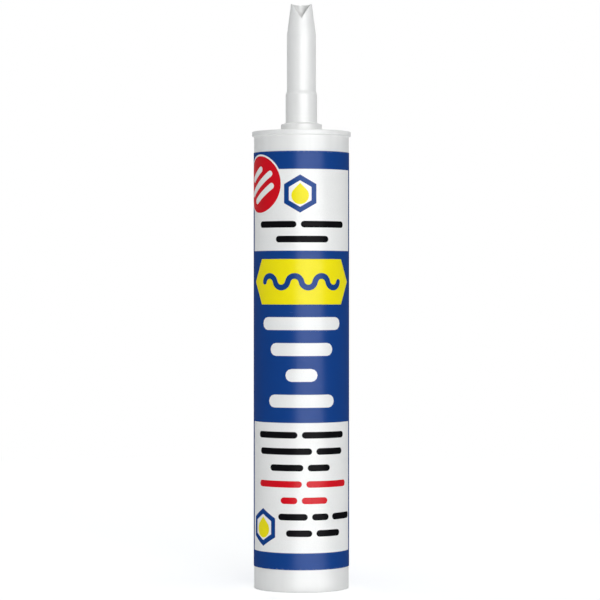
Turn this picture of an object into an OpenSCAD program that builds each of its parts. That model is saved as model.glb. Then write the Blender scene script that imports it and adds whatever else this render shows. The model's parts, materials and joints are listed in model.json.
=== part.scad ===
// Screw-nozzle adhesive cartridge, standing on its open rear end.
// The axis is +Z, the origin is the centre of the rear edge, and the printed front faces -Y.
// The nozzle seats on the boss, the piston runs in the bore, and the adhesive fills what lies between.

/* [Barrel] */
// Outside diameter of the bare barrel
barrel_d = 49.6; // [46:0.1:56]
// Thickness of the barrel wall along the bore
barrel_wall = 1.3; // [1.1:0.05:2]
// Length from the rear edge to the top of the front rim
barrel_len = 238.4; // [205:0.1:290]
// Radial room that the rear mouth has over the bore
mouth_relief = 0.4; // [0.2:0.05:0.6]
// Length of the wider rear mouth
mouth_len = 8; // [5:0.5:9]
// Length of the taper from the mouth down to the bore
mouth_taper = 2; // [1:0.5:3]
// Rounding of the small edges
edge_round = 0.2; // [0.1:0.05:0.3]

/* [Front end] */
// How far the front rim stands out from the barrel
rim_out = 1; // [0.6:0.05:2]
// Height of the front rim
rim_h = 2.5; // [2:0.1:4]
// Rounding of the rim's edges
rim_round = 0.45; // [0.2:0.05:0.5]
// Width of the rim's flat top
rim_w = 2.6; // [2:0.1:3.5]
// Depth of the ring recess between the rim and the boss
recess_depth = 2.5; // [1.5:0.1:4]
// Thickness of the front wall under the recess
front_wall = 2.2; // [1.8:0.1:3]
// Diameter of the boss that the nozzle seats on
boss_d = 23.4; // [22.6:0.1:27]
// Number of stiffening ribs in the recess
rib_count = 8; // [4:1:16]
// Thickness of each stiffening rib
rib_w = 1.4; // [1:0.1:2]
// How far the ribs stay below the rim's top
rib_drop = 0.6; // [0.3:0.1:1]

/* [Spigot] */
// Diameter of the spigot at the root of its thread
spigot_d = 12.6; // [12:0.1:13]
// Diameter of the passage through the spigot
spigot_bore = 9.6; // [7:0.1:9.8]
// Height of the spigot above the boss
spigot_len = 17.4; // [15:0.1:17.6]
// Thickness of the moulded web that closes the spigot
seal_web = 0.8; // [0.5:0.1:1.2]
// Height of the cone that leads into the spigot's passage
throat_h = 3; // [2:0.1:4]

/* [Nozzle] */
// Diameter of the nozzle's seating flange
flange_d = 21.3; // [19.5:0.1:22.4]
// Height of the flange's upright edge
flange_h = 3.9; // [2.5:0.1:5]
// Height of the cone from the flange up to the socket
flange_cone = 0.8; // [0.5:0.1:2]
// Radial room for the thread between the spigot and the socket
thread_room = 0.65; // [0.5:0.05:0.8]
// Room above the spigot inside the socket
socket_room = 2.1; // [1.5:0.1:5]
// Thickness of the socket's wall at the root of its thread
socket_wall = 1.25; // [1:0.05:1.5]
// Height of the outer shoulder between the socket and the spout
shoulder_h = 1.9; // [1:0.1:3]
// Outside diameter of the straight part of the spout
spout_d = 15.1; // [13.6:0.1:15.6]
// Thickness of the spout's wall
spout_wall = 1.25; // [1:0.05:1.6]
// Height of the straight part of the spout
spout_len = 29.2; // [20:0.1:50]
// Height of the tapered tip
tip_len = 16.2; // [12:0.1:30]
// Outside diameter at the end of the tip
tip_d = 11; // [9:0.1:12.5]
// Thickness of the wall at the end of the tip
tip_wall = 1; // [0.7:0.05:1.3]
// Depth of the V notch in the front of the tip
notch_depth = 7.9; // [4:0.1:11]
// Flat left at each side of the notch, at the end of the tip
notch_land = 0.5; // [0.3:0.05:0.7]

/* [Piston] */
// Radial running clearance of the piston's lips in the bore
lip_clearance = 0.06; // [0.02:0.01:0.1]
// Depth of the piston's rear edge inside the barrel
piston_inset = 12; // [12:0.5:20]
// Height of the piston
piston_h = 19; // [17:0.5:24]
// Height of the rear lip
lip_h = 2.6; // [2:0.1:4]
// Height over which the front lip flares out
lip_flare = 3.6; // [3:0.1:5]
// Radial relief of the skirt between its two lips
skirt_relief = 0.7; // [0.4:0.05:1]
// Thickness of the piston's skirt
skirt_wall = 1.3; // [1:0.05:1.6]
// Thickness of the piston's crown
crown_wall = 1.6; // [1.2:0.1:2.2]
// Diameter of the crown's flat front
crown_d = 34; // [28:0.5:36]
// Depth of the groove behind the front lip
groove_depth = 3.1; // [2:0.1:4]
// Number of ribs behind the crown
piston_ribs = 8; // [4:1:12]
// Thickness of each rib and of the hub
piston_rib_w = 1.3; // [1:0.1:1.8]
// Outside diameter of the hub where the ribs meet
hub_d = 12.5; // [9:0.5:16]
// Depth of the open cup that a push plate enters
cup_depth = 6; // [4:0.5:8]

/* [Adhesive] */
// Gap between the piston's front and the adhesive
fill_gap = 0.05; // [0.02:0.01:0.1]

/* [Label] */
// Thickness of the label film
film_t = 0.15; // [0.1:0.01:0.25]
// Thickness of the glue between the barrel and the film
glue_t = 0.05; // [0.02:0.01:0.08]
// Height of the label's lower edge
label_z = 11.7; // [6:0.1:16]
// Bare band between the label's upper edge and the rim
bare_band = 8.6; // [4:0.1:14]
// Height of the lower blue band
low_band_h = 8.7; // [5:0.1:12]
// Height of the lower white panel
low_panel_h = 67; // [55:0.5:80]
// Height of the upper white panel
top_panel_h = 42; // [35:0.5:50]
// Height of the upper blue band
top_band_h = 9.3; // [5:0.1:12]
// Angle that the white panels take round the barrel
panel_angle = 153.8; // [130:0.2:175]
// Width of the seam where the film's ends meet at the back
seam_w = 0.8; // [0.4:0.1:2]

/* [Label motifs] */
// Width of the yellow badge, measured round the barrel
badge_w = 61.8; // [50:0.2:64]
// Height of the yellow badge
badge_h = 23.4; // [16:0.2:26]
// How far the badge's pointed ends reach
badge_point = 7; // [3:0.5:12]
// Blue left above the badge
badge_gap = 4.3; // [2:0.1:8]
// Width of the winding bead on the badge
bead_w = 3; // [2:0.1:4]
// Length of the winding bead
bead_len = 43; // [30:1:46]
// Number of full waves of the bead
bead_waves = 3; // [2:1:5]
// Steepest slope of the bead
bead_slope = 80; // [50:1:90]
// Blue left under the lowest headline's row
headline_foot = 4.5; // [2:0.1:8]
// Blue left between the badge and the highest headline's row
headline_head = 3.2; // [1:0.1:6]
// Share of a headline row's height that its bar fills
headline_fill = 0.5; // [0.3:0.01:0.8]
// Thickness of a bar that stands for small print
print_h = 3.4; // [2:0.1:4]
// White left above the highest and below the lowest row of small print
print_margin = 2.1; // [1:0.1:4]
// White left under the lowest row in the lower panel
print_foot = 5.9; // [3:0.1:8]
// Space between the bars of one row, as a share of the panels' width
word_gap = 0.033; // [0.02:0.001:0.06]
// Height of the hexagon emblems
emblem_h = 19.6; // [14:0.2:20]
// Width of the ring of each emblem
emblem_ring = 3; // [1:0.1:4]
// White left between an emblem and the panel's upper or lower edge
emblem_gap = 2.9; // [1:0.1:6]
// Height of the drop inside each emblem
drop_h = 11; // [6:0.2:12]
// Diameter of the round red flash with its white edge
flash_d = 31.2; // [24:0.1:32]
// Width of the white edge round the flash
flash_edge = 0.9; // [0.4:0.1:1.5]
// How far the flash's centre lies below the upper blue band
flash_drop = 7.6; // [2:0.1:14]
// Thickness of the bars on the flash
flash_bar_h = 3.2; // [2:0.1:4]
// Tilt of the bars on the flash
flash_tilt = 32; // [0:1:60]

/* [Hidden] */
$fn = 96;

WHITE = [0.95, 0.95, 0.94];
NATURAL = [0.90, 0.90, 0.86];
CREAM = [0.93, 0.91, 0.85];
BLUE = [0.06, 0.22, 0.48];
YELLOW = [0.97, 0.88, 0.10];
RED = [0.80, 0.09, 0.12];
BLACK = [0.06, 0.06, 0.07];

// How far a cutting or joining solid runs past the face it has to cross
over = 1;
// Number of chords in each small rounding of a profile
round_steps = 4;

barrel_r = barrel_d / 2;
bore_r = barrel_r - barrel_wall;
mouth_r = bore_r + mouth_relief;
rim_r = barrel_r + rim_out;
rim_in_r = rim_r - rim_w;
rim_z = barrel_len - rim_h;
boss_r = boss_d / 2;
recess_z = barrel_len - recess_depth;
wall_z = recess_z - front_wall;

spigot_r = spigot_d / 2;
spigot_bore_r = spigot_bore / 2;
throat_r = spigot_bore_r + throat_h;
spigot_top = barrel_len + spigot_len;
seal_z = spigot_top - seal_web;

flange_r = flange_d / 2;
socket_in_r = spigot_r + thread_room;
socket_r = socket_in_r + socket_wall;
socket_len = spigot_len + socket_room;
spout_r = spout_d / 2;
spout_in_r = spout_r - spout_wall;
tip_r = tip_d / 2;
tip_in_r = tip_r - tip_wall;
spout_z = socket_len + shoulder_h;
tip_z = spout_z + spout_len;
nozzle_h = tip_z + tip_len;

lip_r = bore_r - lip_clearance;
skirt_r = lip_r - skirt_relief;
skirt_in_r = skirt_r - skirt_wall;
crown_r = crown_d / 2;
groove_r = (crown_r + lip_r) / 2;
piston_z = piston_inset;
crown_z = piston_z + piston_h;

film_in_r = barrel_r + glue_t;
film_r = film_in_r + film_t;
panel_w = film_r * panel_angle * PI / 180;
label_top = rim_z - bare_band;
low_panel_z = label_z + low_band_h;
field_z = low_panel_z + low_panel_h;
top_band_z = label_top - top_band_h;
top_panel_z = top_band_z - top_panel_h;
badge_z = top_panel_z - badge_gap - badge_h / 2;
headline_z = field_z + headline_foot;
headline_top = badge_z - badge_h / 2 - headline_head;
top_emblem_z = top_band_z - emblem_gap - emblem_h / 2;
low_emblem_z = low_panel_z + emblem_gap + emblem_h / 2;

// Places across the panels, as shares of their width from the front's centre line
top_emblem_at = -0.01;
low_emblem_at = -0.34;
flash_at = -0.383;
// Rows of print from the lowest up: the left end of the row, then the widths of its bars
top_rows = [[-0.207, [0.426]], [-0.374, [0.336, 0.387]]];
low_rows = [
    [-0.121, [0.205, 0.217]],
    [-0.186, [0.235, 0.14, 0.229]],
    [-0.165, [0.134, 0.208]],
    [-0.38, [0.384, 0.378]],
    [-0.259, [0.274, 0.185]],
    [-0.369, [0.452, 0.247]],
    [-0.387, [0.357, 0.381]]
];
// Which of the lower panel's rows are red
red_rows = [2, 3];
// Widths of the headline bars from the lowest up
headline_widths = [0.543, 0.251, 0.513, 0.673];
// Bars on the flash: the height above its centre and the length, as shares of its diameter
flash_bars = [[0.2, 0.4], [0.01, 0.72], [-0.18, 0.56]];

// Points on an arc about [cx, cy], in degrees, for the rounded corners of a profile
function arc(cx, cy, r, from, to) =
    [for (i = [0 : round_steps])
        let (a = from + (to - from) * i / round_steps)
        [cx + r * cos(a), cy + r * sin(a)]];

// The angle that a length measured round the label's face takes up
function turn(u) = u / film_r * 180 / PI;

// The centre height of row i, where so many equal rows share the room from low to high
function row_z(i, count, low, high) = low + (i + 0.5) * (high - low) / count;

// The sum of the first n numbers of a list
function total(v, n) = n <= 0 ? 0 : v[n - 1] + total(v, n - 1);

// The inner line of the bore from the mouth's rear edge up to the closed spigot, as [radius, height]
function bore_line() = concat(
    [[0, seal_z], [spigot_bore_r, seal_z], [spigot_bore_r, wall_z + throat_h], [throat_r, wall_z]],
    arc(bore_r - edge_round, wall_z - edge_round, edge_round, 90, 0),
    [[bore_r, mouth_len + mouth_taper], [mouth_r, mouth_len]]
);

// The front rim's outline, from the barrel's face up over the rim and down to the recess
function rim_line() = concat(
    [[barrel_r, rim_z - rim_round], [barrel_r + rim_out / 3, rim_z - rim_round / 3]],
    arc(rim_r - rim_round, rim_z + rim_round, rim_round, -60, 0),
    arc(rim_r - rim_round, barrel_len - rim_round, rim_round, 0, 90),
    arc(rim_in_r + rim_round, barrel_len - rim_round, rim_round, 90, 180),
    [[rim_in_r, recess_z]]
);

// One moulding: the tube, the front wall, the ribbed recess, the boss and the closed spigot
module barrel() {
    color(WHITE) {
        rotate_extrude()
            polygon(concat(
                arc(mouth_r + edge_round, edge_round, edge_round, 180, 270),
                arc(barrel_r - edge_round, edge_round, edge_round, 270, 360),
                rim_line(),
                [[boss_r, recess_z]],
                arc(boss_r - edge_round, barrel_len - edge_round, edge_round, 0, 90),
                [[spigot_r, barrel_len]],
                arc(spigot_r - edge_round, spigot_top - edge_round, edge_round, 0, 90),
                [[0, spigot_top]],
                bore_line()
            ));
        front_ribs();
    }
}

// The radial ribs that run from the boss out to the rim across the recess
module front_ribs() {
    rib_in = boss_r - over / 2;
    rib_out = rim_in_r + over / 2;
    for (i = [0 : rib_count - 1])
        rotate([0, 0, (i + 0.5) * 360 / rib_count])
            translate([rib_in, -rib_w / 2, recess_z - front_wall / 2])
                cube([rib_out - rib_in, rib_w, recess_depth + front_wall / 2 - rib_drop]);
}

// The outer line of the nozzle from its seat to its tip, as [radius, height above the seat]
function nozzle_outside() = concat(
    arc(flange_r - edge_round, edge_round, edge_round, 270, 360),
    arc(flange_r - edge_round, flange_h - edge_round, edge_round, 0, 60),
    [[socket_r, flange_h + flange_cone], [socket_r, socket_len], [spout_r, spout_z],
     [spout_r, tip_z], [tip_r, nozzle_h]]
);

// The inner line of the nozzle from its tip back down to the socket's mouth
function nozzle_inside() = [
    [tip_in_r, nozzle_h], [spout_in_r, tip_z], [spout_in_r, spout_z],
    [socket_in_r, socket_len - shoulder_h / 2],
    [socket_in_r, edge_round * 2], [socket_in_r + edge_round * 2, 0]
];

// The hollow nozzle, with the V notch cut through the front of its tip only
module nozzle() {
    color(WHITE)
        translate([0, 0, barrel_len])
            difference() {
                rotate_extrude()
                    polygon(concat(nozzle_outside(), nozzle_inside()));
                tip_notch();
            }
}

module tip_notch() {
    half_w = tip_r - notch_land;
    rise = over * notch_depth / half_w;
    translate([0, 0, nozzle_h])
        rotate([90, 0, 0])
            linear_extrude(height = tip_r + over)
                polygon([[0, -notch_depth], [half_w + over, rise], [-half_w - over, rise]]);
}

// The piston's front face from the axis to the tip of its lip, as [radius, height]
function piston_face(lift) = [
    [0, crown_z + lift], [crown_r, crown_z + lift], [groove_r, crown_z - groove_depth + lift],
    [lip_r - edge_round, crown_z + lift], [lip_r, crown_z - edge_round + lift]
];

// The piston's rear side from the skirt's lip in to the axis under the crown
function piston_back() = [
    [lip_r, crown_z - lip_flare / 2], [skirt_r, crown_z - lip_flare],
    [skirt_r, piston_z + lip_h + skirt_relief], [lip_r, piston_z + lip_h],
    [lip_r, piston_z + edge_round], [lip_r - edge_round, piston_z],
    [skirt_in_r, piston_z],
    [skirt_in_r, crown_z - groove_depth - crown_wall],
    [groove_r - crown_wall / 2, crown_z - groove_depth - crown_wall],
    [crown_r - crown_wall, crown_z - crown_wall], [0, crown_z - crown_wall]
];

// The cup-shaped piston with its two sealing lips, the hub and the ribs that a push plate bears on
module piston() {
    hub_r = hub_d / 2;
    rib_z = piston_z + cup_depth;
    rib_top = crown_z - crown_wall / 2;
    color(NATURAL)
        union() {
            rotate_extrude()
                polygon(concat(piston_face(0), piston_back()));
            translate([0, 0, rib_z])
                difference() {
                    cylinder(r = hub_r, h = rib_top - rib_z);
                    translate([0, 0, -over])
                        cylinder(r = hub_r - piston_rib_w, h = rib_top - rib_z + 2 * over);
                }
            for (i = [0 : piston_ribs - 1])
                rotate([0, 0, i * 360 / piston_ribs])
                    piston_rib(hub_r - piston_rib_w / 2, rib_z, rib_top);
        }
}

// One rib, which follows the underside of the groove out to the skirt
module piston_rib(start_r, bottom, top) {
    end_r = skirt_in_r + skirt_wall / 2;
    groove_z = crown_z - groove_depth - crown_wall / 2;
    translate([0, piston_rib_w / 2, 0])
        rotate([90, 0, 0])
            linear_extrude(height = piston_rib_w)
                polygon([
                    [start_r, bottom], [end_r, bottom], [end_r, groove_z], [groove_r, groove_z],
                    [crown_r - crown_wall / 2, top], [start_r, top]
                ]);
}

// The adhesive column, from just off the piston's face to the web that closes the spigot
module adhesive_fill() {
    color(CREAM)
        rotate_extrude()
            polygon(concat(
                piston_face(fill_gap),
                [[bore_r, crown_z - edge_round + fill_gap]],
                arc(bore_r - edge_round, wall_z - edge_round, edge_round, 0, 90),
                [[throat_r, wall_z], [spigot_bore_r, wall_z + throat_h],
                 [spigot_bore_r, seal_z], [0, seal_z]]
            ));
}

// A sector of a ring round the barrel, centred on the front
module front_sector(angle, inner_r, outer_r, bottom, top) {
    rotate([0, 0, -90 - angle / 2])
        rotate_extrude(angle = angle)
            translate([inner_r, bottom])
                square([outer_r - inner_r, top - bottom]);
}

// The whole film, wrapped round the barrel with its two ends meeting at the back
module film() {
    front_sector(360 - turn(seam_w), film_in_r, film_r, label_z, label_top);
}

// Every motif below is a cutter that crosses the film from inside to outside.

// A flat outline wrapped onto the film at a share of the panels' width and a height, tilted in its plane
module wrapped(share, z, outline, tilt = 0) {
    rotate([0, 0, share * panel_angle])
        rotate([90, 0, 0])
            linear_extrude(height = film_r + over)
                polygon([for (p = outline)
                    let (q = [p.x * cos(tilt) - p.y * sin(tilt), p.x * sin(tilt) + p.y * cos(tilt)])
                    [film_r * sin(turn(q.x)), z + q.y]]);
}

// A bar with round ends, as the place of a word
function pill(w, h) =
    let (r = h / 2, steps = 6)
    [for (end = [1, -1], i = [0 : steps])
        let (a = i * 180 / steps - 90)
        end * [w / 2 - r + r * cos(a), r * sin(a)]];

function disc(d, points = 48) =
    [for (i = [0 : points - 1]) d / 2 * [cos(i * 360 / points), sin(i * 360 / points)]];

function hexagon(h) = [for (i = [0 : 5]) h / 2 * [sin(i * 60), cos(i * 60)]];

// A drop with its point up: three quarters of a circle and the tangents that meet above it
function drop(h) =
    let (r = h / (1 + sqrt(2)), steps = 18)
    concat([[0, h / 2]],
           [for (i = [0 : steps])
               let (a = 135 + i * 270 / steps)
               [r * cos(a), r - h / 2 + r * sin(a)]]);

// A band with pointed ends
function badge_outline() =
    let (w = badge_w / 2, h = badge_h / 2)
    [[-w, 0], [badge_point - w, -h], [w - badge_point, -h], [w, 0], [w - badge_point, h], [badge_point - w, h]];

// The centre line of the bead: equal arcs that swing up and down in turn, as [x, y, heading]
function bead_line() =
    let (arcs = 2 * bead_waves, chord = bead_len / arcs, r = chord / 2 / sin(bead_slope), steps = 10)
    [for (k = [0 : arcs - 1], i = [k == 0 ? 0 : 1 : steps])
        let (up = k % 2 == 0 ? 1 : -1, heading = up * bead_slope * (1 - 2 * i / steps))
        [(k + 0.5) * chord - bead_len / 2 - up * r * sin(heading),
         up * r * (cos(heading) - cos(bead_slope)), heading]];

// A point on the bead's edge, on the side of its centre line that the angle from its heading says
function bead_edge(at, angle) =
    [at[0], at[1]] + bead_w / 2 * [cos(at[2] + angle), sin(at[2] + angle)];

// A bead of even width with round ends
function bead_outline() =
    let (line = bead_line(), last = len(line) - 1, steps = 6)
    concat(
        [for (i = [0 : last]) bead_edge(line[i], 90)],
        [for (i = [1 : steps - 1]) bead_edge(line[last], 90 - i * 180 / steps)],
        [for (i = [0 : last]) bead_edge(line[last - i], -90)],
        [for (i = [1 : steps - 1]) bead_edge(line[0], -90 - i * 180 / steps)]
    );

module panels() {
    front_sector(panel_angle, barrel_r - over, film_r + over, low_panel_z, field_z);
    front_sector(panel_angle, barrel_r - over, film_r + over, top_panel_z, top_band_z);
}

// One row of bars: the left end and the bars' widths are shares of the panels' width
module print_row(row, z) {
    for (i = [0 : len(row[1]) - 1])
        wrapped(row[0] + total(row[1], i) + i * word_gap + row[1][i] / 2, z,
                pill(row[1][i] * panel_w, print_h));
}

// The lower panel's rows, either the red ones or all the others
module low_print(red) {
    for (i = [0 : len(low_rows) - 1])
        if (red == (len(search(i, red_rows)) > 0))
            print_row(low_rows[i],
                      row_z(i, len(low_rows), low_panel_z + print_foot, field_z - print_margin));
}

module top_print() {
    for (i = [0 : len(top_rows) - 1])
        print_row(top_rows[i],
                  row_z(i, len(top_rows), top_panel_z + print_margin,
                        top_emblem_z - emblem_h / 2 - print_margin));
}

module headlines() {
    row_h = (headline_top - headline_z) / len(headline_widths);
    for (i = [0 : len(headline_widths) - 1])
        wrapped(0, row_z(i, len(headline_widths), headline_z, headline_top),
                pill(headline_widths[i] * panel_w, row_h * headline_fill));
}

module at_emblems(outline) {
    wrapped(top_emblem_at, top_emblem_z, outline);
    wrapped(low_emblem_at, low_emblem_z, outline);
}

module emblem_rings() {
    difference() {
        at_emblems(hexagon(emblem_h));
        at_emblems(hexagon(emblem_h - 2 * emblem_ring));
    }
}

module emblem_drops() {
    at_emblems(drop(drop_h));
}

module badge() {
    wrapped(0, badge_z, badge_outline());
}

module badge_bead() {
    wrapped(0, badge_z, bead_outline());
}

module flash(edge = 0) {
    wrapped(flash_at, top_band_z - flash_drop, disc(flash_d - 2 * edge));
}

// The bars stand one above the other along the flash's own tilted upright
module flash_print() {
    for (bar = flash_bars)
        wrapped(flash_at - bar[0] * flash_d * sin(flash_tilt) / panel_w,
                top_band_z - flash_drop + bar[0] * flash_d * cos(flash_tilt),
                pill(bar[1] * flash_d, flash_bar_h), flash_tilt);
}

// What is printed over the ground: its own colour goes in, and the flash stays on top of it all
module printed() {
    difference() {
        intersection() {
            film();
            children(0);
        }
        flash();
    }
}

// The film's blue ground with windows for every other colour, the emblems' rings and the bead
module label_blue() {
    color(BLUE) {
        difference() {
            film();
            panels();
            badge();
            headlines();
            flash();
        }
        printed()
            union() {
                difference() {
                    emblem_rings();
                    badge();
                }
                badge_bead();
            }
    }
}

// The white panels, the headline bars, and the edge and bars of the flash
module label_white() {
    color(WHITE) {
        difference() {
            printed()
                union() {
                    panels();
                    headlines();
                }
            badge();
            emblem_rings();
            emblem_drops();
            top_print();
            low_print(true);
            low_print(false);
        }
        intersection() {
            film();
            union() {
                flash_print();
                difference() {
                    flash();
                    flash(flash_edge);
                }
            }
        }
    }
}

module label_yellow() {
    color(YELLOW)
        printed()
            union() {
                difference() {
                    badge();
                    badge_bead();
                }
                emblem_drops();
            }
}

module label_red() {
    color(RED) {
        printed()
            low_print(true);
        difference() {
            intersection() {
                film();
                flash(flash_edge);
            }
            flash_print();
        }
    }
}

module label_black() {
    color(BLACK)
        printed()
            union() {
                top_print();
                low_print(false);
            }
}

barrel();
nozzle();
piston();
adhesive_fill();
label_blue();
label_white();
label_yellow();
label_red();
label_black();
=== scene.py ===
import json
import math

import bmesh
import bpy
from bpy.props import FloatProperty, FloatVectorProperty, IntProperty, PointerProperty
from mathutils import Matrix, Vector

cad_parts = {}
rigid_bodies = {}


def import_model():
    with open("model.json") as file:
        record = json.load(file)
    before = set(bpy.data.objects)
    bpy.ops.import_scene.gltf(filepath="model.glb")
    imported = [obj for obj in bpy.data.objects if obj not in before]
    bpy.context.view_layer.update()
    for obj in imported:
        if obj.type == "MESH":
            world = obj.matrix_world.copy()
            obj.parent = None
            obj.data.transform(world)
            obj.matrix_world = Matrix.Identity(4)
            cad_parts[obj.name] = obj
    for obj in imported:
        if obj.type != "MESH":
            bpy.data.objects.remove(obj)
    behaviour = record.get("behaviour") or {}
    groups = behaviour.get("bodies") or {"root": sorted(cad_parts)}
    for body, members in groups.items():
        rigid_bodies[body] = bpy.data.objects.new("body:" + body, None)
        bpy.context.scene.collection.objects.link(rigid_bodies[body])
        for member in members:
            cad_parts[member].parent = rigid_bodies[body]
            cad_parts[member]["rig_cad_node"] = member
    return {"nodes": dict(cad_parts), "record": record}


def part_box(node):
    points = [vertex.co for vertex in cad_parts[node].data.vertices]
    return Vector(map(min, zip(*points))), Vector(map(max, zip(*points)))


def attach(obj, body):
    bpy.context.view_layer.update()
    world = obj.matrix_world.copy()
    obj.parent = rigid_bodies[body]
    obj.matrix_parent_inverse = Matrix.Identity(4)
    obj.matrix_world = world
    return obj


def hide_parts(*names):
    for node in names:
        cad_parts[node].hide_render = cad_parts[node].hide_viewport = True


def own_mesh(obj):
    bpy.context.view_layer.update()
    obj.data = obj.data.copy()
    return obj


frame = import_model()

bl_info = {
    "name": "Adhesive cartridge",
    "version": (1, 0, 0),
    "blender": (4, 5, 0),
    "location": "3D View > Sidebar > Cartridge",
    "description": "Dresses the cartridge with printed film, moulded plastic, threads and paste",
    "category": "Object",
}

# The blank file's own objects go before the box is taken.
for starter in list(bpy.data.objects):
    if "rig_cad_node" not in starter and not starter.name.startswith("body:"):
        bpy.data.objects.remove(starter)

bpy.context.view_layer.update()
MM = 0.001

# For each ink's node: the piece that stands for it, its slot, and how much of the varnish and of the
# sheen it shows
INKS = {
    "label_blue": ("film_blue", "ink_blue", 1.0, 0.0),
    "label_white": ("film_white", "ink_white", 1.6, 0.4),
    "label_yellow": ("film_yellow", "ink_yellow", 0.8, 0.35),
    "label_red": ("film_red", "ink_red", 0.9, 0.1),
    "label_black": ("film_black", "ink_black", 0.2, 0.0),
}
# For each moulded node: how far its plastic lets light in, and how much of the sheen it shows
MOULDINGS = {"barrel": (0.15, 1.0), "nozzle": (0.2, 2.6), "piston": (0.2, 1.0)}

# Real sizes of the solids that the added pieces sit on, in millimetres from the axis or the rear edge
SEAT_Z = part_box("nozzle")[0].z / MM
SPIGOT_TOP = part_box("barrel")[1].z / MM
SPIGOT_R = 6.3
SOCKET_R = 6.95
THREAD_Z = SEAT_Z + 2.2
WEB_Z = SPIGOT_TOP - 0.8
PASSAGE_R = 4.8
THROAT_R = 7.8
THROAT_H = 3.0
FRONT_WALL_Z = SEAT_Z - 4.7
BORE_R = 23.5
CROWN_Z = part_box("piston")[1].z / MM
CROWN_UNDER_Z = CROWN_Z - 1.6
FILM_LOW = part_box("label_blue")[0].z / MM
FILM_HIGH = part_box("label_blue")[1].z / MM
FILM_IN_R = 24.85
FILM_OUT_R = 25.0

# The piston's face with its ring groove, as radius and height above the crown
CROWN_LINE = [(0, 0), (17.0, 0), (20.22, -3.1), (23.44, 0)]
# The nozzle's outer line, as radius and height above its seat
NOZZLE_LINE = [
    (10.65, 0.4), (10.65, 3.8), (8.2, 4.65), (8.2, 19.5), (7.55, 21.4), (7.55, 50.55), (5.52, 66.5)]
# The gate marks, each a low round pad with the gate's torn nub on it, as radius and rise
WEB_MARK = [
    (0, -0.1), (1.5, -0.1), (1.5, 0.05), (1.3, 0.1), (0.62, 0.12), (0.5, 0.3), (0.34, 0.42), (0, 0.45)]
CROWN_MARK = [
    (0, -0.1), (1.9, -0.1), (1.9, 0.06), (1.7, 0.14), (0.72, 0.16), (0.6, 0.42), (0.4, 0.6), (0, 0.64)]

# The lap at the film's seam, in millimetres: it rises from flush to proud, and its cut edge has no ink.
LAP_STEPS = 14
LAP_IN_R = 25.005
LAP_FLUSH_R = 25.012
LAP_PROUD_R = 25.1
LAP_BARE = 0.5

# The room between the paste and the plastic round it, and over the piston's face
PASTE_SLACK = 0.02
PASTE_GAP = 0.05

# The range that most of a noise lies in
NOISE_SPAN = (0.3, 0.7)
# How far the rubbed marks reach from the ends of the film and of a moulding
FILM_RUB = 0.9 * MM
PLASTIC_RUB = 1.4 * MM
# A high index and a small weight make the highlight bright and leave the edges dark.
COAT_IOR = 2.0

# The stage, in metres: the floor turns plain white to the eye over the fade, away from the foot.
FLOOR_R = 2.4
FLOOR_FADE = (0.3, 1.0)
FLOOR_LIFT = 0.49
LAMP_AIM = (0, 0, 0.15)
LOW_LAMP_Z = 0.001
CAMERA_PLACE = (-0.00074, -1.284, 0.1568)
CAMERA_AIM = (-0.00074, 0, 0.1505)


def slot_colour(slot):
    """The record's linear colour of one material slot."""
    for row in frame["record"]["materials"]:
        if row["slot"] == slot:
            return tuple(row["base_color"])
    raise ValueError(f"the record has no slot named {slot}")


def colour_property(slot, label):
    """A colour that a user can change, which starts as the record's."""
    return FloatVectorProperty(
        name=label, description=f"Colour of the {label.lower()}", subtype="COLOR",
        size=3, min=0, max=1, default=slot_colour(slot))


class FilmSettings(bpy.types.PropertyGroup):
    """The printed film round the barrel"""
    blue: colour_property("ink_blue", "Blue ink")
    white: colour_property("ink_white", "White ink")
    yellow: colour_property("ink_yellow", "Yellow ink")
    red: colour_property("ink_red", "Red ink")
    black: colour_property("ink_black", "Black ink")
    wrap_step: FloatProperty(
        name="Wrap step", description="Angle between the folds that round the film off",
        default=math.radians(3), min=math.radians(1), max=math.radians(10), subtype="ANGLE")
    roughness: FloatProperty(
        name="Roughness", description="Roughness of the ink under its varnish",
        default=0.46, min=0, max=1)
    gloss: FloatProperty(
        name="Gloss", description="Weight of the film's clear varnish",
        default=0.055, min=0, max=1)
    sheen: FloatProperty(
        name="Sheen", description="Broad shine of the pale inks in their own colour",
        default=0.118, min=0, max=1)
    waviness: FloatProperty(
        name="Waviness", description="Depth of the film's slow waves",
        default=0.00003, min=0, max=0.0005, subtype="DISTANCE", unit="LENGTH")
    lap_width: FloatProperty(
        name="Lap width", description="Width of the overlap at the back seam",
        default=0.007, min=0.002, max=0.012, subtype="DISTANCE", unit="LENGTH")


class PlasticSettings(bpy.types.PropertyGroup):
    """The moulded polyethylene parts"""
    barrel: colour_property("barrel_plastic", "Barrel plastic")
    nozzle: colour_property("nozzle_plastic", "Nozzle plastic")
    piston: colour_property("piston_plastic", "Piston plastic")
    roughness: FloatProperty(
        name="Roughness", description="Roughness of the satin plastic",
        default=0.46, min=0, max=1)
    gloss: FloatProperty(
        name="Gloss", description="Weight of the plastic's smooth moulded skin",
        default=0.115, min=0, max=1)
    sheen: FloatProperty(
        name="Sheen", description="Broad shine of the satin plastic",
        default=0.05, min=0, max=1)
    grain: FloatProperty(
        name="Grain", description="Depth of the fine mould grain",
        default=0.000012, min=0, max=0.0002, subtype="DISTANCE", unit="LENGTH")


class ThreadSettings(bpy.types.PropertyGroup):
    """The screw thread between the spigot and the nozzle"""
    pitch: FloatProperty(
        name="Pitch", description="Rise of the thread in one turn",
        default=0.0025, min=0.0015, max=0.004, subtype="DISTANCE", unit="LENGTH")
    height: FloatProperty(
        name="Height", description="Radial height of the thread's ridge",
        default=0.0005, min=0.0002, max=0.0006, subtype="DISTANCE", unit="LENGTH")
    turns: FloatProperty(
        name="Turns", description="Number of turns", default=5.2, min=1, max=6)
    steps: IntProperty(
        name="Steps a turn", description="Number of sections in one turn", default=64, min=24, max=128)


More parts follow.
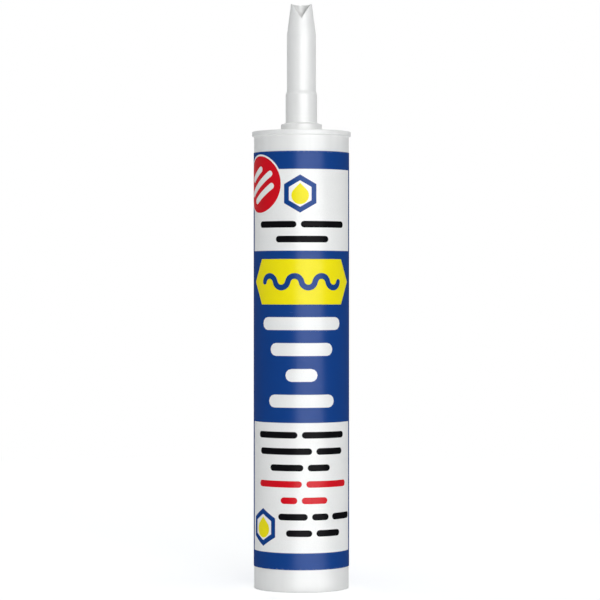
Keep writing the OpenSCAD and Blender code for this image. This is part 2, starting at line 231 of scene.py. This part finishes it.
class PasteSettings(bpy.types.PropertyGroup):
    """The adhesive in the barrel"""
    colour: colour_property("adhesive", "Adhesive")
    steps: IntProperty(
        name="Steps", description="Number of sides round the column", default=128, min=32, max=256)


class StudioSettings(bpy.types.PropertyGroup):
    """The stage, the lamps and the camera"""
    room: FloatProperty(
        name="Room light", description="Strength of the even light from all round",
        default=0.27, min=0, max=2)
    key: FloatProperty(
        name="Key light", description="Power of the front lamp in watts",
        default=30, min=0, max=500)
    side: FloatProperty(
        name="Side light", description="Power of the left lamp in watts",
        default=3.3, min=0, max=500)
    sheen: FloatProperty(
        name="Highlight", description="Brightness of what the gloss reflects, in watts a square metre",
        default=28, min=0, max=500)
    table: FloatProperty(
        name="Table light", description="Power of the glow that the pale table throws up, in watts",
        default=2.4, min=0, max=500)
    top: FloatProperty(
        name="Top light", description="Power of the lamp overhead in watts",
        default=5, min=0, max=500)
    back: FloatProperty(
        name="Back light", description="Power of the lamp behind the cartridge in watts",
        default=17, min=0, max=500)
    lens: FloatProperty(
        name="Lens", description="Focal length of the camera in millimetres",
        default=147.1, min=20, max=400)
    floor: FloatVectorProperty(
        name="Floor", description="Colour of the floor", subtype="COLOR",
        size=3, min=0, max=1, default=(0.82, 0.82, 0.82))


def link_piece(name, mesh, finish, body):
    """Puts a mesh into the scene as a finished piece that rides on a body."""
    piece = bpy.data.objects.new(name, mesh)
    bpy.context.scene.collection.objects.link(piece)
    mesh.materials.append(finish)
    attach(piece, body)
    return piece


def link_moulded(name, mesh, node_name):
    """Adds a piece to the moulding of this name, in the moulding's own plastic."""
    finish = frame["nodes"][node_name].material_slots[0].material
    return link_piece(name, mesh, finish, node_name)


def feed(tree, socket, value):
    """Links a socket to another node's output, or sets it to a plain value."""
    if isinstance(value, bpy.types.NodeSocket):
        tree.links.new(value, socket)
    elif socket.type == "RGBA":
        socket.default_value = (*value, 1)
    else:
        socket.default_value = value


def add_node(tree, kind, inputs=None, **settings):
    """One shader node, whose inputs are given as values or as other nodes' sockets."""
    made = tree.nodes.new(kind)
    for key, value in settings.items():
        setattr(made, key, value)
    for key, value in (inputs or {}).items():
        feed(tree, made.inputs[key], value)
    return made


def blank_finish(name):
    """A material with an empty tree and its output node."""
    finish = bpy.data.materials.new(name)
    finish.use_nodes = True
    tree = finish.node_tree
    tree.nodes.clear()
    return finish, tree, tree.nodes.new("ShaderNodeOutputMaterial")


def set_surface(tree, output, inputs):
    """Gives a finish one principled surface with these inputs."""
    surface = add_node(tree, "ShaderNodeBsdfPrincipled", inputs)
    tree.links.new(surface.outputs["BSDF"], output.inputs["Surface"])


def own_place(tree):
    """The place of a point in its piece's own space, in metres."""
    return add_node(tree, "ShaderNodeTexCoord").outputs["Object"]


def own_axis(tree, axis):
    """One coordinate of that place."""
    return add_node(tree, "ShaderNodeSeparateXYZ", {"Vector": own_place(tree)}).outputs[axis]


def remap(tree, value, source, target):
    """A value carried from the source range to the target range, with its ends held."""
    return add_node(tree, "ShaderNodeMapRange", {
        "Value": value, "From Min": source[0], "From Max": source[1],
        "To Min": target[0], "To Max": target[1]}).outputs["Result"]


def combine(tree, operation, a, b):
    """The result of one operation on two values."""
    return add_node(tree, "ShaderNodeMath", {0: a, 1: b}, operation=operation).outputs["Value"]


def blend_colour(tree, factor, a, b):
    """Colour a where the factor is 0, and colour b where it is 1."""
    factor_in, a_in, b_in, colour_out = 0, 6, 7, 2
    inputs = {factor_in: factor, a_in: a, b_in: b}
    return add_node(tree, "ShaderNodeMix", inputs, data_type="RGBA").outputs[colour_out]


def speckle(tree, cells, detail, stretch=(1, 1, 1)):
    """Noise in the piece's own space, as a factor from 0 to 1, of so many cells a metre."""
    place = own_place(tree)
    if stretch != (1, 1, 1):
        place = add_node(tree, "ShaderNodeMapping", {"Vector": place, "Scale": stretch}).outputs["Vector"]
    noise = add_node(tree, "ShaderNodeTexNoise", {"Vector": place, "Scale": cells, "Detail": detail})
    return noise.outputs["Fac"]


def patches(tree, cells, detail, target, span=NOISE_SPAN, stretch=(1, 1, 1)):
    """Noise whose values within the span are spread over the target range."""
    return remap(tree, speckle(tree, cells, detail, stretch), span, target)


def wear(tree, low, high, reach, spots, scratches):
    """Where a surface is worn: in spots within reach of its low and high ends, and along scratches."""
    height = own_axis(tree, "Z")
    near_low = remap(tree, height, (low, low + reach), (1, 0))
    near_high = remap(tree, height, (high - reach, high), (0, 1))
    ends = combine(tree, "MAXIMUM", near_low, near_high)
    return combine(tree, "MAXIMUM", combine(tree, "MULTIPLY", ends, spots), scratches)


def bump_chain(tree, layers):
    """Bump layers laid one on the other, each a height socket and its depth in metres."""
    normal = None
    for height, depth in layers:
        inputs = {"Height": height, "Distance": depth, "Strength": 1.0}
        if normal is not None:
            inputs["Normal"] = normal
        normal = add_node(tree, "ShaderNodeBump", inputs).outputs["Normal"]
    return normal


def shade(colour, share):
    """A colour made darker or lighter by a share."""
    return tuple(min(1.0, c * share) for c in colour)


def toward(colour, other, share):
    """A colour moved by a share of the way to another."""
    return tuple(a + (b - a) * share for a, b in zip(colour, other))


def printed_finish(name, colour, varnish, sheen, settings, bare_from=None):
    """Ink on glossy film: print mottle, rubbed ends, light scuffs, slow waves and fine grain.

    Where bare_from is given, the film has no ink at places of a smaller X.
    """
    finish, tree, output = blank_finish(name)
    mottle = speckle(tree, cells=1900, detail=4)
    dots = remap(tree, mottle, NOISE_SPAN, (0, 1))
    tone = blend_colour(tree, dots, shade(colour, 0.97), shade(colour, 1.03))
    cloud = patches(tree, cells=55, detail=3, target=(0, 0.35))
    tone = blend_colour(tree, cloud, tone, shade(colour, 0.94))

    spots = patches(tree, cells=900, detail=5, target=(0, 1), span=(0.52, 0.66))
    scuffs = patches(tree, cells=190, detail=6, target=(0, 0.25), span=(0.7, 0.82), stretch=(1, 1, 9))
    worn = wear(tree, FILM_LOW * MM, FILM_HIGH * MM, FILM_RUB, spots, scuffs)
    pale = toward(colour, (0.8, 0.8, 0.8), 0.3)
    tone = blend_colour(tree, combine(tree, "MULTIPLY", worn, 0.6), tone, pale)
    if bare_from is not None:
        fade = 0.05 * MM
        bare = remap(tree, own_axis(tree, "X"), (bare_from - fade, bare_from), (1, 0))
        tone = blend_colour(tree, bare, tone, tuple(settings.white))

    middle = settings.roughness + 0.12 * sheen
    rough = patches(tree, cells=210, detail=4, target=(middle - 0.04, middle + 0.04))
    rough = combine(tree, "ADD", rough, combine(tree, "MULTIPLY", worn, 0.2))
    normal = bump_chain(tree, [
        (speckle(tree, cells=70, detail=2, stretch=(1, 1, 0.35)), settings.waviness),
        (mottle, 0.0000015),
    ])
    set_surface(tree, output, {
        "Base Color": tone, "Roughness": rough, "Normal": normal, "IOR": 1.5,
        "Specular IOR Level": settings.sheen * sheen, "Specular Tint": shade(colour, 1 / max(colour)),
        "Coat Weight": settings.gloss * varnish, "Coat Roughness": 0.24, "Coat IOR": COAT_IOR,
        "Coat Normal": normal})
    return finish


def moulded_finish(name, colour, settings, low, high, translucency, sheen):
    """Satin polyethylene: flow streaks, mould grain, an uneven sheen, and rubbed marks at both ends."""
    finish, tree, output = blank_finish(name)
    streaks = patches(tree, cells=260, detail=4, target=(0, 1), stretch=(1, 1, 0.06))
    tone = blend_colour(tree, streaks, shade(colour, 0.95), shade(colour, 0.985))
    cloud = patches(tree, cells=38, detail=3, target=(0, 0.5), span=(0.35, 0.65))
    tone = blend_colour(tree, cloud, tone, shade(colour, 0.93))

    spots = patches(tree, cells=420, detail=6, target=(0, 1), span=(0.5, 0.68))
    scratches = patches(tree, cells=320, detail=7, target=(0, 0.6), span=(0.67, 0.75), stretch=(1, 1, 14))
    worn = wear(tree, low, high, PLASTIC_RUB, spots, scratches)
    tone = blend_colour(tree, combine(tree, "MULTIPLY", worn, 0.35), tone, shade(colour, 0.86))

    middle = settings.roughness
    rough = patches(tree, cells=150, detail=4, target=(middle - 0.06, middle + 0.06))
    rough = combine(tree, "ADD", rough, combine(tree, "MULTIPLY", worn, 0.12))
    normal = bump_chain(tree, [
        (speckle(tree, cells=130, detail=2), 0.00003),
        (scratches, 0.000006),
        (speckle(tree, cells=2600, detail=3), settings.grain),
    ])
    set_surface(tree, output, {
        "Base Color": tone, "Roughness": rough, "Normal": normal, "IOR": 1.5,
        "Specular IOR Level": settings.sheen * sheen, "Coat Weight": settings.gloss,
        "Coat Roughness": 0.27, "Coat IOR": COAT_IOR, "Coat Normal": normal,
        "Subsurface Weight": translucency, "Subsurface Radius": (1, 1, 1), "Subsurface Scale": 0.002})
    return finish


def paste_finish(name, colour):
    """Thick filled paste: soft clouds, fine lumps and a damp sheen."""
    finish, tree, output = blank_finish(name)
    cloud = patches(tree, cells=90, detail=5, target=(0, 1))
    tone = blend_colour(tree, cloud, shade(colour, 0.93), shade(colour, 1.04))
    rough = patches(tree, cells=240, detail=4, target=(0.34, 0.52))
    normal = bump_chain(tree, [
        (speckle(tree, cells=260, detail=5), 0.00018),
        (speckle(tree, cells=1700, detail=4), 0.00003),
    ])
    set_surface(tree, output, {
        "Base Color": tone, "Roughness": rough, "Normal": normal, "IOR": 1.46,
        "Subsurface Weight": 0.15, "Subsurface Radius": (1, 0.9, 0.7), "Subsurface Scale": 0.0012})
    return finish


def at(r, turn, z):
    """The point at a radius, an angle and a height, given in millimetres, in metres."""
    return (r * MM * math.cos(turn), r * MM * math.sin(turn), z * MM)


def to_mesh(solid, name):
    """The mesh of a bmesh, which is freed."""
    mesh = bpy.data.meshes.new(name)
    solid.to_mesh(mesh)
    solid.free()
    return mesh


def smooth_mesh(solid, name, crease):
    """A closed solid's mesh, smooth apart from the edges that turn by more than crease degrees."""
    bmesh.ops.recalc_face_normals(solid, faces=solid.faces)
    mesh = to_mesh(solid, name)
    mesh.shade_smooth()
    mesh.set_sharp_from_angle(angle=math.radians(crease))
    return mesh


def round_normals(mesh):
    """Gives the faces that look out or in the normals of a true cylinder, and leaves the rest flat."""
    mesh.shade_smooth()
    normals = [None] * len(mesh.loops)
    for face in mesh.polygons:
        facing = face.normal.dot(Vector((face.center.x, face.center.y, 0)).normalized())
        for corner in face.loop_indices:
            point = mesh.vertices[mesh.loops[corner].vertex_index].co
            across = Vector((point.x, point.y, 0)).normalized()
            if facing > 0.7:
                normals[corner] = across
            elif facing < -0.7:
                normals[corner] = -across
            else:
                normals[corner] = face.normal
    mesh.normals_split_custom_set(normals)


def loft(solid, rings):
    """Faces from each ring of corners to the next, and one over the ring at either end."""
    for one, two in zip(rings, rings[1:]):
        for k in range(len(one)):
            n = (k + 1) % len(one)
            solid.faces.new((one[k], one[n], two[n], two[k]))
    solid.faces.new(rings[0])
    solid.faces.new(list(reversed(rings[-1])))


def revolve(name, profile, steps):
    """A solid of revolution from points of radius and height in millimetres, from axis to axis."""
    solid = bmesh.new()
    rings = []
    for r, z in profile:
        count = steps if r > 0 else 1
        rings.append([solid.verts.new(at(r, 2 * math.pi * i / steps, z)) for i in range(count)])
    for low, high in zip(rings, rings[1:]):
        for i in range(steps):
            j = (i + 1) % steps
            if len(low) == 1:
                corners = (low[0], high[j], high[i])
            elif len(high) == 1:
                corners = (low[i], low[j], high[0])
            else:
                corners = (low[i], low[j], high[j], high[i])
            solid.faces.new(corners)
    return smooth_mesh(solid, name, crease=35)


def helix(name, wall_r, height, settings, phase):
    """A screw ridge that stands out from a wall, or inwards with a negative height.

    Both ends run out to nothing over a share of a turn, where the ridge keeps a least share of its width.
    """
    pitch, steps = settings.pitch / MM, settings.steps
    total = int(settings.turns * steps)
    run_out, least = 0.35 * steps, 0.25
    foot, crest, sunk = 1.3, 0.5, 0.12
    if height < 0:
        sunk = -sunk
    ridge = bmesh.new()
    rings = []
    for i in range(total + 1):
        turn = 2 * math.pi * i / steps + phase
        z = THREAD_Z + pitch * i / steps
        grow = math.sin(min(1, i / run_out, (total - i) / run_out) * math.pi / 2)
        rise = height * grow
        half = [
            (wall_r - sunk, 0.5 * foot), (wall_r, 0.5 * foot),
            (wall_r + 0.82 * rise, 0.62 * crest), (wall_r + rise, 0.38 * crest)]
        outline = [(r, -dz) for r, dz in half] + half[::-1]
        rings.append([ridge.verts.new(at(r, turn, z + dz * max(grow, least))) for r, dz in outline])
    loft(ridge, rings)
    return smooth_mesh(ridge, name, crease=50)


def swept_line(name, profile, width, height, turns):
    """A hairline ridge that follows a profile of radius and height up the outside, once at each turn."""
    # The ridge's corners, as shares of its width across and of its height out of the surface
    section = ((-0.5, -0.6), (-0.18, 1), (0.18, 1), (0.5, -0.6))
    line = bmesh.new()
    for turn in turns:
        spin = Matrix.Rotation(turn, 3, "Z")
        rings = []
        for i, (r, z) in enumerate(profile):
            before = Vector(profile[max(i - 1, 0)])
            after = Vector(profile[min(i + 1, len(profile) - 1)])
            along = (after - before).normalized()
            out = Vector((along.y, -along.x))
            ring = []
            for across, lift in section:
                corner = Vector((r, z)) + out * height * lift
                place = Vector((corner.x * MM, across * width * MM, corner.y * MM))
                ring.append(line.verts.new(spin @ place))
            rings.append(ring)
        loft(line, rings)
    return smooth_mesh(line, name, crease=40)


def wrap_film(node_name, step):
    """The node's flat-chorded film, folded at every step and pushed out onto its true cylinders."""
    same_point, on_plane = 0.002 * MM, 0.0005 * MM
    film = bmesh.new()
    film.from_mesh(frame["nodes"][node_name].data)
    bmesh.ops.remove_doubles(film, verts=film.verts, dist=same_point)
    count = round(math.pi / step)
    for k in range(count):
        turn = k * math.pi / count
        bmesh.ops.bisect_plane(
            film, geom=film.verts[:] + film.edges[:] + film.faces[:], dist=on_plane,
            plane_co=(0, 0, 0), plane_no=(math.cos(turn), math.sin(turn), 0))
    middle = (FILM_IN_R + FILM_OUT_R) / 2 * MM
    for vert in film.verts:
        now = math.hypot(vert.co.x, vert.co.y)
        want = (FILM_OUT_R if now > middle else FILM_IN_R) * MM
        vert.co.x *= want / now
        vert.co.y *= want / now
    mesh = to_mesh(film, node_name)
    round_normals(mesh)
    return mesh


def lap_strip(width):
    """The film's outer end, which starts flush with the film under it and rises over its edge."""
    lap = bmesh.new()
    rings = []
    for i in range(LAP_STEPS + 1):
        share = i / LAP_STEPS
        turn = math.pi / 2 + (share - 0.5) * width / LAP_IN_R
        outer = LAP_FLUSH_R + (LAP_PROUD_R - LAP_FLUSH_R) * share
        corners = ((LAP_IN_R, FILM_LOW), (outer, FILM_LOW), (outer, FILM_HIGH), (LAP_IN_R, FILM_HIGH))
        rings.append([lap.verts.new(at(r, turn, z)) for r, z in corners])
    loft(lap, rings)
    bmesh.ops.recalc_face_normals(lap, faces=lap.faces)
    mesh = to_mesh(lap, "film_lap")
    round_normals(mesh)
    return mesh


def paste_column(steps):
    """The paste between the piston's crown and the front wall."""
    wall_r, top, edge = BORE_R - PASTE_SLACK, FRONT_WALL_Z - PASTE_SLACK, 0.4
    face = [(r, CROWN_Z + z + PASTE_GAP) for r, z in CROWN_LINE]
    face[-1] = (wall_r, face[-1][1])
    wall = [(wall_r, z) for z in (40, 90, 140, 190, top - edge)]
    end = [(BORE_R - edge, top), (THROAT_R, top), (0, top)]
    return revolve("adhesive_column", face + wall + end, steps)


def paste_plug(steps):
    """The paste in the throat and the spigot, up to the web."""
    wall_r, top, edge = PASSAGE_R - PASTE_SLACK, WEB_Z - PASTE_SLACK, 0.3
    throat = [(0, FRONT_WALL_Z), (THROAT_R - PASTE_SLACK, FRONT_WALL_Z), (wall_r, FRONT_WALL_Z + THROAT_H)]
    wall = [(wall_r, z) for z in (246, WEB_Z - edge)]
    return revolve("spigot_paste", throat + wall + [(PASSAGE_R - edge, top), (0, top)], steps)


class CARTRIDGE_OT_finish_mouldings(bpy.types.Operator):
    """Give the barrel, the nozzle and the piston their moulded plastic"""
    bl_idname = "cartridge.finish_mouldings"
    bl_label = "Finish the mouldings"

    def execute(self, context):
        settings = context.scene.cartridge_plastic
        for name, (translucency, sheen) in MOULDINGS.items():
            low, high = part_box(name)
            colour = tuple(getattr(settings, name))
            finish = moulded_finish(f"{name}_plastic", colour, settings, low.z, high.z, translucency, sheen)
            frame["nodes"][name].material_slots[0].material = finish
        return {"FINISHED"}


class CARTRIDGE_OT_cut_threads(bpy.types.Operator):
    """Add the screw thread on the spigot and inside the nozzle's socket"""
    bl_idname = "cartridge.cut_threads"
    bl_label = "Cut the threads"

    def execute(self, context):
        settings = context.scene.cartridge_thread
        height = settings.height / MM
        link_moulded("spigot_thread", helix("spigot_thread", SPIGOT_R, height, settings, 0.0), "barrel")
        link_moulded("socket_thread", helix("socket_thread", SOCKET_R, -height, settings, math.pi), "nozzle")
        return {"FINISHED"}


class CARTRIDGE_OT_mould_marks(bpy.types.Operator):
    """Add the nozzle's parting lines and the gate marks of the barrel and the piston"""
    bl_idname = "cartridge.mould_marks"
    bl_label = "Add the mould marks"

    def execute(self, context):
        outline = [(r, SEAT_Z + z) for r, z in NOZZLE_LINE]
        lines = swept_line("nozzle_parting_lines", outline, width=0.16, height=0.04, turns=(0, math.pi))
        link_moulded("nozzle_parting_lines", lines, "nozzle")
        web = revolve("web_gate_mark", [(r, SPIGOT_TOP + rise) for r, rise in WEB_MARK], steps=32)
        link_moulded("web_gate_mark", web, "barrel")
        crown = revolve("piston_gate_mark", [(r, CROWN_UNDER_Z - rise) for r, rise in CROWN_MARK], steps=32)
        link_moulded("piston_gate_mark", crown, "piston")
        return {"FINISHED"}


class CARTRIDGE_OT_wrap_film(bpy.types.Operator):
    """Wrap the printed film round the barrel, one piece for each ink"""
    bl_idname = "cartridge.wrap_film"
    bl_label = "Wrap the printed film"

    def execute(self, context):
        settings = context.scene.cartridge_film
        for node_name, (piece_name, slot, varnish, sheen) in INKS.items():
            colour = tuple(getattr(settings, slot.replace("ink_", "")))
            finish = printed_finish(slot, colour, varnish, sheen, settings)
            mesh = wrap_film(node_name, settings.wrap_step)
            piece = link_piece(piece_name, mesh, finish, "barrel")
            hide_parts(node_name)
        return {"FINISHED"}


class CARTRIDGE_OT_lap_seam(bpy.types.Operator):
    """Lay the film's outer end over the seam at the back"""
    bl_idname = "cartridge.lap_seam"
    bl_label = "Lap the back seam"

    def execute(self, context):
        settings = context.scene.cartridge_film
        width = settings.lap_width / MM
        bare_from = (LAP_BARE - width / 2) * MM
        finish = printed_finish("film_lap", tuple(settings.blue), 1.0, 0.0, settings, bare_from)
        link_piece("film_lap", lap_strip(width), finish, "barrel")
        return {"FINISHED"}


class CARTRIDGE_OT_fill_paste(bpy.types.Operator):
    """Fill the barrel with adhesive ahead of the piston, and the spigot with its own plug of it"""
    bl_idname = "cartridge.fill_paste"
    bl_label = "Fill with adhesive"

    def execute(self, context):
        settings = context.scene.cartridge_paste
        finish = paste_finish("adhesive", tuple(settings.colour))
        column = link_piece("adhesive_column", paste_column(settings.steps), finish, "barrel")
        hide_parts("adhesive_fill")
        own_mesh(column)
        plug = link_piece("spigot_paste", paste_plug(settings.steps // 2), finish, "barrel")
        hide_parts("adhesive_fill")
        return {"FINISHED"}


def seen_directly(tree):
    """1 for camera, glossy and transmission rays, and 0 for the rays that light the object."""
    path = add_node(tree, "ShaderNodeLightPath")
    seen = combine(tree, "MAXIMUM", path.outputs["Is Camera Ray"], path.outputs["Is Glossy Ray"])
    return combine(tree, "MAXIMUM", seen, path.outputs["Is Transmission Ray"])


def turn_to(thing, target):
    """Turns a lamp or a camera from where it stands to look at a point."""
    aim = Vector(target) - thing.location
    thing.rotation_euler = aim.to_track_quat("-Z", "Y").to_euler()


class CARTRIDGE_OT_set_stage(bpy.types.Operator):
    """Set the pale floor, the soft lamps, the even room light and the camera"""
    bl_idname = "cartridge.set_stage"
    bl_label = "Set the stage"

    def execute(self, context):
        scene = context.scene
        settings = scene.cartridge_studio
        scene.view_settings.view_transform = "Standard"
        self.light_room(scene, settings.room)
        self.lay_floor(scene, tuple(settings.floor))
        self.hang_lamps(scene, settings)
        self.add_highlight(scene, settings.sheen)
        self.set_camera(scene, settings.lens)
        return {"FINISHED"}

    def light_room(self, scene, strength):
        """An even light from all round, seen as plain white."""
        world = bpy.data.worlds.new("even_room")
        scene.world = world
        world.use_nodes = True
        tree = world.node_tree
        tree.nodes.clear()
        seen = seen_directly(tree)
        strength = remap(tree, seen, (0, 1), (strength, 1.0))
        tint = blend_colour(tree, seen, (0.92, 0.97, 1.0), (1.0, 1.0, 1.0))
        light = add_node(tree, "ShaderNodeBackground", {"Color": tint, "Strength": strength})
        output = tree.nodes.new("ShaderNodeOutputWorld")
        tree.links.new(light.outputs["Background"], output.inputs["Surface"])

    def lay_floor(self, scene, colour):
        """A pale floor that keeps the shadow near the foot and is seen as plain white further off."""
        disc = bmesh.new()
        bmesh.ops.create_circle(disc, cap_ends=True, segments=96, radius=FLOOR_R)
        mesh = to_mesh(disc, "floor")
        floor = bpy.data.objects.new("floor", mesh)
        scene.collection.objects.link(floor)
        finish, tree, output = blank_finish("floor")
        grain = patches(tree, cells=30, detail=4, target=(0, 0.04))
        tone = blend_colour(tree, grain, colour, shade(colour, 0.9))
        seen = seen_directly(tree)
        reach = add_node(tree, "ShaderNodeVectorMath", {0: own_place(tree)}, operation="LENGTH")
        far = remap(tree, reach.outputs["Value"], FLOOR_FADE, (0, 1))
        tone = blend_colour(tree, combine(tree, "MULTIPLY", seen, far), tone, (0, 0, 0))
        matt = add_node(tree, "ShaderNodeBsdfDiffuse", {"Color": tone})
        lift = combine(tree, "MULTIPLY", seen, remap(tree, far, (0, 1), (FLOOR_LIFT, 1.0)))
        glow = add_node(tree, "ShaderNodeEmission", {"Color": (1, 1, 1), "Strength": lift})
        both = add_node(tree, "ShaderNodeAddShader", {0: matt.outputs["BSDF"], 1: glow.outputs["Emission"]})
        tree.links.new(both.outputs["Shader"], output.inputs["Surface"])
        mesh.materials.append(finish)

    def hang_lamps(self, scene, settings):
        """The soft lamps round the cartridge, and the glow of the pale table under it."""
        for name, power, size, azimuth, distance, height in (
                ("key_softbox", settings.key, (1.2, 1.2), 12, 2.2, 0.4),
                ("left_softbox", settings.side, (0.6, 1.4), -115, 1.5, 0.4),
                ("top_softbox", settings.top, (0.8, 0.8), 15, 0.15, 1.5),
                ("back_softbox", settings.back, (1.0, 1.2), 180, 2.2, 0.5)):
            self.add_softbox(scene, name, power, size, azimuth, distance, height)
        glow = self.add_lamp(scene, "table_glow", settings.table, (2.4, 2.4))
        glow.location.z = LOW_LAMP_Z
        glow.rotation_euler.x = math.pi

    def add_highlight(self, scene, brightness):
        """The box that the gloss reflects, and the cards on the floor that carry it down to the foot."""
        azimuth, spread, distance, height = 19.9, 32.7, 2.0, 1.8
        width = 2 * distance * math.tan(math.radians(spread))
        self.add_softbox(
            scene, "highlight_softbox", brightness * width * height, (width, height),
            azimuth, distance, 0.5, gloss=True)
        turn = math.radians(azimuth)
        edges = (0.03, 0.08, 0.2, 0.5, 1.0, 1.9)
        for i, (near, far) in enumerate(zip(edges, edges[1:])):
            middle, depth = (near + far) / 2, far - near
            width = 2 * middle * math.tan(math.radians(spread))
            power = brightness * width * depth
            card = self.add_lamp(scene, f"floor_card_{i + 1}", power, (width, depth), gloss=True)
            card.location = (middle * math.sin(turn), -middle * math.cos(turn), LOW_LAMP_Z)
            card.rotation_euler = (math.pi, 0, turn)

    def add_softbox(self, scene, name, power, size, azimuth, distance, height, gloss=False):
        """A lamp that stands off at an azimuth from the front and looks at the cartridge."""
        box = self.add_lamp(scene, name, power, size, gloss)
        turn = math.radians(azimuth)
        box.location = (distance * math.sin(turn), -distance * math.cos(turn), height)
        turn_to(box, LAMP_AIM)

    def add_lamp(self, scene, name, power, size, gloss=False):
        """A soft rectangular lamp that lights only the matt side of a surface, or only its gloss."""
        lamp = bpy.data.lights.new(name, "AREA")
        lamp.shape = "RECTANGLE"
        lamp.size, lamp.size_y = size
        lamp.energy = power
        box = bpy.data.objects.new(name, lamp)
        scene.collection.objects.link(box)
        box.visible_diffuse = not gloss
        box.visible_glossy = gloss
        box.visible_camera = False
        return box

    def set_camera(self, scene, lens):
        """The camera at the photo's viewing angle."""
        view = bpy.data.cameras.new("photo_camera")
        view.lens = lens
        view.sensor_width = 36
        view.clip_start = 0.05
        view.clip_end = 50
        camera = bpy.data.objects.new("photo_camera", view)
        scene.collection.objects.link(camera)
        camera.location = CAMERA_PLACE
        turn_to(camera, CAMERA_AIM)
        scene.camera = camera


class CARTRIDGE_PT_panel(bpy.types.Panel):
    """The cartridge's pieces, in the order in which they are made"""
    bl_idname = "CARTRIDGE_PT_panel"
    bl_label = "Adhesive cartridge"
    bl_space_type = "VIEW_3D"
    bl_region_type = "UI"
    bl_category = "Cartridge"

    def draw(self, context):
        for step in STEPS:
            self.layout.operator(step.bl_idname)
        for name, group in SETTINGS.items():
            box = self.layout.box()
            box.label(text=group.__doc__)
            for key in group.__annotations__:
                box.prop(getattr(context.scene, name), key)


SETTINGS = {
    "cartridge_film": FilmSettings,
    "cartridge_plastic": PlasticSettings,
    "cartridge_thread": ThreadSettings,
    "cartridge_paste": PasteSettings,
    "cartridge_studio": StudioSettings,
}
STEPS = (
    CARTRIDGE_OT_finish_mouldings, CARTRIDGE_OT_cut_threads, CARTRIDGE_OT_mould_marks,
    CARTRIDGE_OT_wrap_film, CARTRIDGE_OT_lap_seam, CARTRIDGE_OT_fill_paste, CARTRIDGE_OT_set_stage,
)


def register():
    for group in SETTINGS.values():
        bpy.utils.register_class(group)
    for step in STEPS:
        bpy.utils.register_class(step)
    bpy.utils.register_class(CARTRIDGE_PT_panel)
    for name, group in SETTINGS.items():
        setattr(bpy.types.Scene, name, PointerProperty(type=group))


def unregister():
    for name in SETTINGS:
        delattr(bpy.types.Scene, name)
    bpy.utils.unregister_class(CARTRIDGE_PT_panel)
    for step in reversed(STEPS):
        bpy.utils.unregister_class(step)
    for group in reversed(list(SETTINGS.values())):
        bpy.utils.unregister_class(group)


def main():
    register()
    bpy.ops.cartridge.finish_mouldings()
    bpy.ops.cartridge.cut_threads()
    bpy.ops.cartridge.mould_marks()
    bpy.ops.cartridge.wrap_film()
    bpy.ops.cartridge.lap_seam()
    bpy.ops.cartridge.fill_paste()
    bpy.ops.cartridge.set_stage()


if __name__ == "__main__":
    main()
